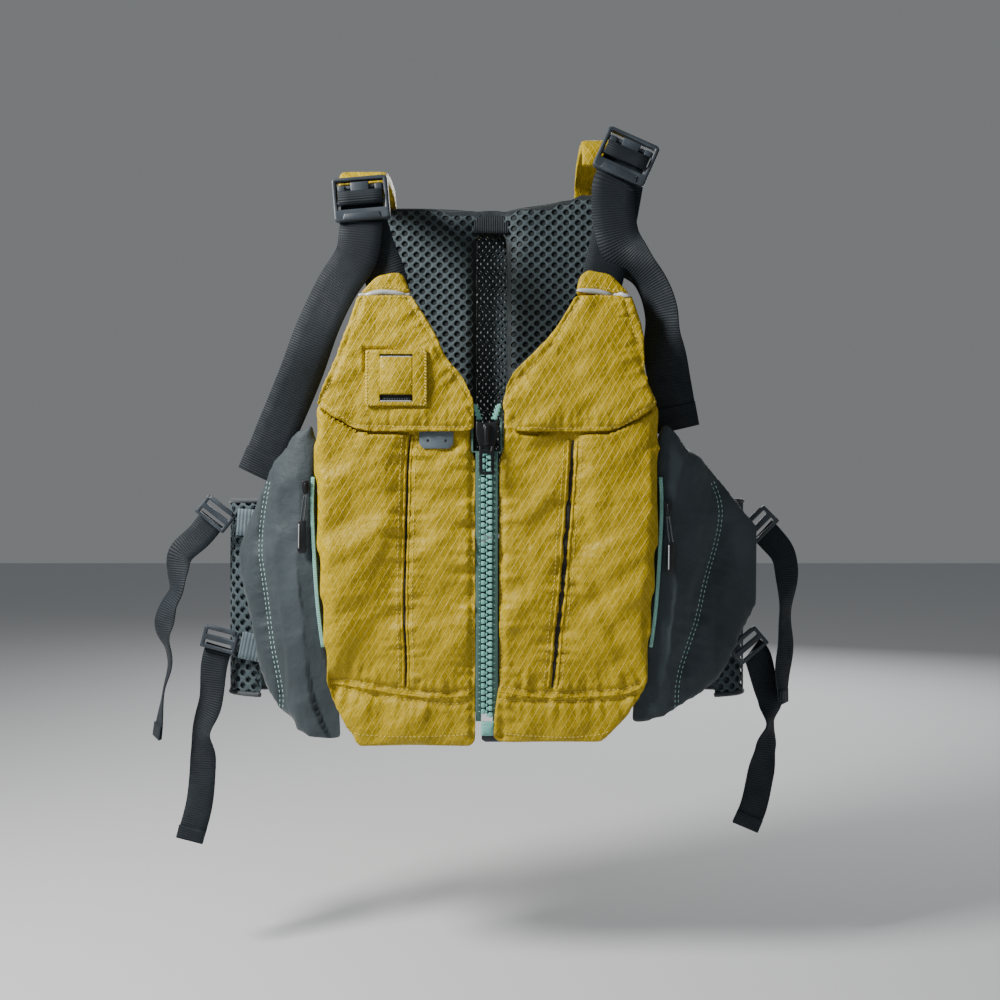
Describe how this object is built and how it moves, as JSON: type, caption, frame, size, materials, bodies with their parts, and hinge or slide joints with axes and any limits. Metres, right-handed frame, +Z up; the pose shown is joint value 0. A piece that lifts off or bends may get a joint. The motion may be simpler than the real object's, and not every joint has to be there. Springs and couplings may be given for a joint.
{
  "type": "life jacket",
  "caption": "Front-zip paddling life jacket with chest pocket flaps, padded shoulder straps, side adjuster straps and a mesh-lined back, shown hanging.",
  "frame": {"origin": "on the hang line under the shoulder pads, midway between the front and the back", "axes": "+Z up, -Y out of the zipped front, +X to the viewer's right facing the front"},
  "size_m": [0.5949, 0.1371, 0.6342],
  "materials": {
    "yellow": "matte ripstop nylon",
    "grey": "matte nylon",
    "webbing": "woven nylon webbing",
    "mesh": "spacer mesh",
    "foam": "closed-cell foam",
    "mint": "moulded zip",
    "tape": "woven zip tape",
    "plastic": "matte moulded acetal",
    "black": "semi-gloss black",
    "elastic": "ribbed elastic"
  },
  "bodies": {
    "harness": {"back_liner": "mesh", "back_cover": "yellow", "back_centre_mesh": "mesh", "back_top_webbing": "webbing", "back_foam_left": "foam", "shoulder_pad_left": "yellow", "shoulder_web_left": "webbing", "pocket_zip_left": "mint", "side_panel_left": "grey", "side_mesh_left": "mesh", "elastic_upper_left": "elastic", "elastic_lower_left": "elastic", "back_foam_right": "foam", "shoulder_pad_right": "yellow", "shoulder_web_right": "webbing", "pocket_zip_right": "mint", "side_panel_right": "grey", "side_mesh_right": "mesh", "elastic_upper_right": "elastic", "elastic_lower_right": "elastic"},
    "front_left": {"chest_panel_left": "yellow", "shoulder_top_left": "yellow", "front_cover_left": "yellow", "hem_band_left": "yellow", "front_foam_left": "foam", "front_liner_left": "mesh", "zip_teeth_left": "mint", "zip_tape_left": "tape", "lash_tab": "plastic"},
    "front_right": {"chest_panel_right": "yellow", "shoulder_top_right": "yellow", "front_cover_right": "yellow", "hem_band_right": "yellow", "front_foam_right": "foam", "front_liner_right": "mesh", "zip_teeth_right": "mint", "zip_tape_right": "tape", "hem_tab": "plastic", "zip_box": "mint"},
    "flap_left": {"chest_flap_left": "yellow", "lash_patch": "yellow"},
    "flap_right": {"chest_flap_right": "yellow"},
    "slider": {"main_slider": "black"},
    "pull": {"main_pull": "black"},
    "pocket_slider_left": {"pocket_slider_left": "black"},
    "pocket_pull_left": {"pocket_pull_left": "black"},
    "shoulder_buckle_left": {"shoulder_buckle_left": "plastic"},
    "shoulder_tail_left": {"shoulder_tail_left": "webbing"},
    "ladder_lock_upper_left": {"ladder_lock_upper_left": "plastic"},
    "side_strap_upper_left": {"side_strap_upper_left": "webbing"},
    "ladder_lock_lower_left": {"ladder_lock_lower_left": "plastic"},
    "side_strap_lower_left": {"side_strap_lower_left": "webbing"},
    "pocket_slider_right": {"pocket_slider_right": "black"},
    "pocket_pull_right": {"pocket_pull_right": "black"},
    "shoulder_buckle_right": {"shoulder_buckle_right": "plastic"},
    "shoulder_tail_right": {"shoulder_tail_right": "webbing"},
    "ladder_lock_upper_right": {"ladder_lock_upper_right": "plastic"},
    "side_strap_upper_right": {"side_strap_upper_right": "webbing"},
    "ladder_lock_lower_right": {"ladder_lock_lower_right": "plastic"},
    "side_strap_lower_right": {"side_strap_lower_right": "webbing"}
  },
  "joints": [
    {"name": "front_left_open", "type": "hinge", "parent": "harness", "child": "front_left", "pos_m": [-0.116, -0.046, -0.04], "axis": [-0.0705, -0.022, -0.9973], "range_deg": [0, 60]},
    {"name": "front_right_open", "type": "hinge", "parent": "harness", "child": "front_right", "pos_m": [0.126, -0.046, -0.04], "axis": [-0.0551, 0.022, 0.9982], "range_deg": [0, 60]},
    {"name": "flap_left_lift", "type": "hinge", "parent": "front_left", "child": "flap_left", "pos_m": [-0.075, -0.0576, -0.152], "axis": [-1, 0, 0], "range_deg": [0, 60]},
    {"name": "flap_right_lift", "type": "hinge", "parent": "front_right", "child": "flap_right", "pos_m": [0.075, -0.0576, -0.152], "axis": [-1, 0, 0], "range_deg": [0, 60]},
    {"name": "zip_slide", "type": "slide", "parent": "front_left", "child": "slider", "axis": [0, 0, -1], "range_m": [0, 0.228]},
    {"name": "zip_pull_flip", "type": "hinge", "parent": "slider", "child": "pull", "pos_m": [0.0015, -0.06, -0.236], "axis": [-1, 0, 0], "range_deg": [0, 150]},
    {"name": "pocket_zip_slide_left", "type": "slide", "parent": "harness", "child": "pocket_slider_left", "axis": [0.0875, 0, -0.9962], "range_m": [0, 0.115]},
    {"name": "pocket_pull_flip_left", "type": "hinge", "parent": "pocket_slider_left", "child": "pocket_pull_left", "pos_m": [-0.1535, -0.05165, -0.2803], "axis": [-1, 0, 0], "range_deg": [0, 100]},
    {"name": "pocket_zip_slide_right", "type": "slide", "parent": "harness", "child": "pocket_slider_right", "axis": [-0.0875, 0, -0.9962], "range_m": [0, 0.1]},
    {"name": "pocket_pull_flip_right", "type": "hinge", "parent": "pocket_slider_right", "child": "pocket_pull_right", "pos_m": [0.1565, -0.05165, -0.2983], "axis": [-1, 0, 0], "range_deg": [0, 100]},
    {"name": "shoulder_buckle_tilt_left", "type": "hinge", "parent": "harness", "child": "shoulder_buckle_left", "pos_m": [-0.106, -0.041, -0.012], "axis": [-1, 0, 0], "range_deg": [0, 25]},
    {"name": "shoulder_buckle_tilt_right", "type": "hinge", "parent": "harness", "child": "shoulder_buckle_right", "pos_m": [0.125, -0.041, 0.024], "axis": [-1, 0, 0], "range_deg": [0, 35]},
    {"name": "shoulder_tail_swing_left", "type": "hinge", "parent": "harness", "child": "shoulder_tail_left", "pos_m": [-0.126, -0.045, -0.048], "axis": [0, 1, 0], "range_deg": [0, 25]},
    {"name": "shoulder_tail_swing_right", "type": "hinge", "parent": "harness", "child": "shoulder_tail_right", "pos_m": [0.131, -0.045, -0.0165], "axis": [0, -1, 0], "range_deg": [0, 25]},
    {"name": "lock_tilt_upper_left", "type": "hinge", "parent": "harness", "child": "ladder_lock_upper_left", "pos_m": [-0.2385, 0.0009, -0.28951], "axis": [-0.7809, 0, 0.6247], "range_deg": [0, 35]},
    {"name": "strap_swing_upper_left", "type": "hinge", "parent": "harness", "child": "side_strap_upper_left", "pos_m": [-0.2485, 0.008, -0.302], "axis": [0, 1, 0], "range_deg": [0, 30]},
    {"name": "lock_tilt_lower_left", "type": "hinge", "parent": "harness", "child": "ladder_lock_lower_left", "pos_m": [-0.23843, 0.0009, -0.40153], "axis": [-0.9671, 0, 0.2545], "range_deg": [0, 35]},
    {"name": "strap_swing_lower_left", "type": "hinge", "parent": "harness", "child": "side_strap_lower_left", "pos_m": [-0.2425, 0.008, -0.417], "axis": [0, 1, 0], "range_deg": [0, 30]},
    {"name": "lock_tilt_upper_right", "type": "hinge", "parent": "harness", "child": "ladder_lock_upper_right", "pos_m": [0.24019, 0.0009, -0.30069], "axis": [-0.7071, 0, -0.7071], "range_deg": [0, 20]},
    {"name": "strap_swing_upper_right", "type": "hinge", "parent": "harness", "child": "side_strap_upper_right", "pos_m": [0.2515, 0.008, -0.312], "axis": [0, -1, 0], "range_deg": [0, 30]},
    {"name": "lock_tilt_lower_right", "type": "hinge", "parent": "harness", "child": "ladder_lock_lower_right", "pos_m": [0.23109, 0.0009, -0.40885], "axis": [-0.7593, 0, -0.6508], "range_deg": [0, 35]},
    {"name": "strap_swing_lower_right", "type": "hinge", "parent": "harness", "child": "side_strap_lower_right", "pos_m": [0.2415, 0.008, -0.421], "axis": [0, -1, 0], "range_deg": [0, 30]}
  ]
}
